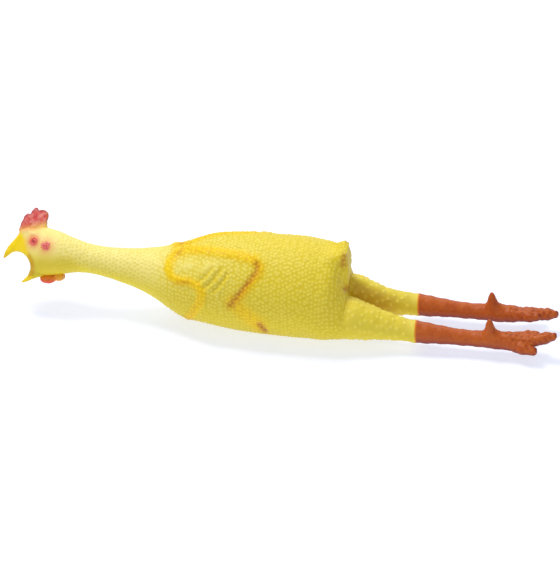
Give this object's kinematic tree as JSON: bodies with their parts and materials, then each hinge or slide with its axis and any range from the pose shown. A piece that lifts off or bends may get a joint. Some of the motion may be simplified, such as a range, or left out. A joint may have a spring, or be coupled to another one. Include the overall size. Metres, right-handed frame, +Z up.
{
  "type": "rubber chicken prop",
  "caption": "Floppy hollow rubber chicken lying on its belly, with an open beak, dimpled yellow skin, folded wings and orange legs.",
  "frame": {"origin": "middle of the part's outline on the floor it lies on", "axes": "+X from the beak to the toes, +Z up from the belly to the back, -Y to the bird's left side"},
  "size_m": [0.5251, 0.0962, 0.0975],
  "materials": {
    "skin_yellow": "satin, dimpled",
    "wing_gold": "satin, sprayed",
    "beak_yellow": "satin",
    "comb_red": "satin",
    "mouth_orange": "satin",
    "leg_orange": "satin",
    "squeaker": "gloss",
    "reed": "matt"
  },
  "bodies": {
    "torso": {"torso_skin": "skin_yellow", "left_wing": "wing_gold", "right_wing": "wing_gold", "squeaker_cup": "squeaker", "squeaker_reed": "reed"},
    "tail": {"tail": "skin_yellow"},
    "neck_base": {"neck_base": "skin_yellow"},
    "neck_lower": {"neck_lower": "skin_yellow"},
    "neck_middle": {"neck_middle": "skin_yellow"},
    "neck_upper": {"neck_upper": "skin_yellow"},
    "head": {"head_skin": "skin_yellow", "upper_beak": "beak_yellow", "mouth_lining": "mouth_orange", "left_eye": "comb_red", "right_eye": "comb_red", "left_ear": "comb_red", "right_ear": "comb_red", "left_wattle": "comb_red", "right_wattle": "comb_red"},
    "lower_beak": {"lower_beak": "beak_yellow"},
    "comb": {"comb": "comb_red"},
    "left_thigh": {"left_thigh": "skin_yellow"},
    "left_shank": {"left_shank": "leg_orange"},
    "left_foot": {"left_palm": "leg_orange", "left_hind_toe": "leg_orange", "left_inner_toe": "leg_orange", "left_middle_toe": "leg_orange", "left_outer_toe": "leg_orange"},
    "right_thigh": {"right_thigh": "skin_yellow"},
    "right_shank": {"right_shank": "leg_orange"},
    "right_foot": {"right_palm": "leg_orange", "right_hind_toe": "leg_orange", "right_inner_toe": "leg_orange", "right_middle_toe": "leg_orange", "right_outer_toe": "leg_orange"}
  },
  "joints": [
    {"name": "neck_root", "type": "hinge", "parent": "torso", "child": "neck_base", "pos_m": [-0.1175, 0, 0.0485], "axis": [0, 1, 0], "range_deg": [-25, 25], "stiffness_Nm_per_rad": 3},
    {"name": "neck_low", "type": "hinge", "parent": "neck_base", "child": "neck_lower", "pos_m": [-0.13872, 0, 0.05129], "axis": [0.1305, 0, 0.9914], "range_deg": [-25, 25], "stiffness_Nm_per_rad": 2},
    {"name": "neck_mid", "type": "hinge", "parent": "neck_lower", "child": "neck_middle", "pos_m": [-0.15993, 0, 0.05409], "axis": [0, 1, 0], "range_deg": [-25, 25], "stiffness_Nm_per_rad": 2},
    {"name": "neck_high", "type": "hinge", "parent": "neck_middle", "child": "neck_upper", "pos_m": [-0.18115, 0, 0.05688], "axis": [0.1305, 0, 0.9914], "range_deg": [-20, 20], "stiffness_Nm_per_rad": 1.5},
    {"name": "head_nod", "type": "hinge", "parent": "neck_upper", "child": "head", "pos_m": [-0.20237, 0, 0.05967], "axis": [0, 0.866, -0.5], "range_deg": [-14, 14], "stiffness_Nm_per_rad": 1.5},
    {"name": "beak_close", "type": "hinge", "parent": "head", "child": "lower_beak", "pos_m": [-0.23587, -0.01175, 0.03932], "axis": [0, 0.866, -0.5], "range_deg": [-8, 24], "stiffness_Nm_per_rad": 0.05},
    {"name": "comb_flop", "type": "hinge", "parent": "head", "child": "comb", "pos_m": [-0.22037, 0.01225, 0.08089], "axis": [-0.982, -0.0944, -0.1635], "range_deg": [-20, 20], "stiffness_Nm_per_rad": 0.05},
    {"name": "tail_wag", "type": "hinge", "parent": "torso", "child": "tail", "pos_m": [0.0485, 0, 0.084], "axis": [0, 1, 0], "range_deg": [-15, 15], "stiffness_Nm_per_rad": 0.3},
    {"name": "left_hip", "type": "hinge", "parent": "torso", "child": "left_thigh", "pos_m": [0.0665, -0.022, 0.028], "axis": [0, 1, 0], "range_deg": [-20, 20], "stiffness_Nm_per_rad": 2},
    {"name": "left_hock", "type": "hinge", "parent": "left_thigh", "child": "left_shank", "pos_m": [0.1275, -0.022, 0.0205], "axis": [0, 1, 0], "range_deg": [-25, 25], "stiffness_Nm_per_rad": 1},
    {"name": "left_ankle", "type": "hinge", "parent": "left_shank", "child": "left_foot", "pos_m": [0.1845, -0.022, 0.0175], "axis": [0, 1, 0], "range_deg": [-25, 25], "stiffness_Nm_per_rad": 0.5},
    {"name": "right_hip", "type": "hinge", "parent": "torso", "child": "right_thigh", "pos_m": [0.0665, 0.022, 0.028], "axis": [0, 1, 0], "range_deg": [-20, 20], "stiffness_Nm_per_rad": 2},
    {"name": "right_hock", "type": "hinge", "parent": "right_thigh", "child": "right_shank", "pos_m": [0.1275, 0.022, 0.0205], "axis": [0, 1, 0], "range_deg": [-25, 25], "stiffness_Nm_per_rad": 1},
    {"name": "right_ankle", "type": "hinge", "parent": "right_shank", "child": "right_foot", "pos_m": [0.1845, 0.022, 0.0175], "axis": [0, 1, 0], "range_deg": [-25, 25], "stiffness_Nm_per_rad": 0.5}
  ]
}
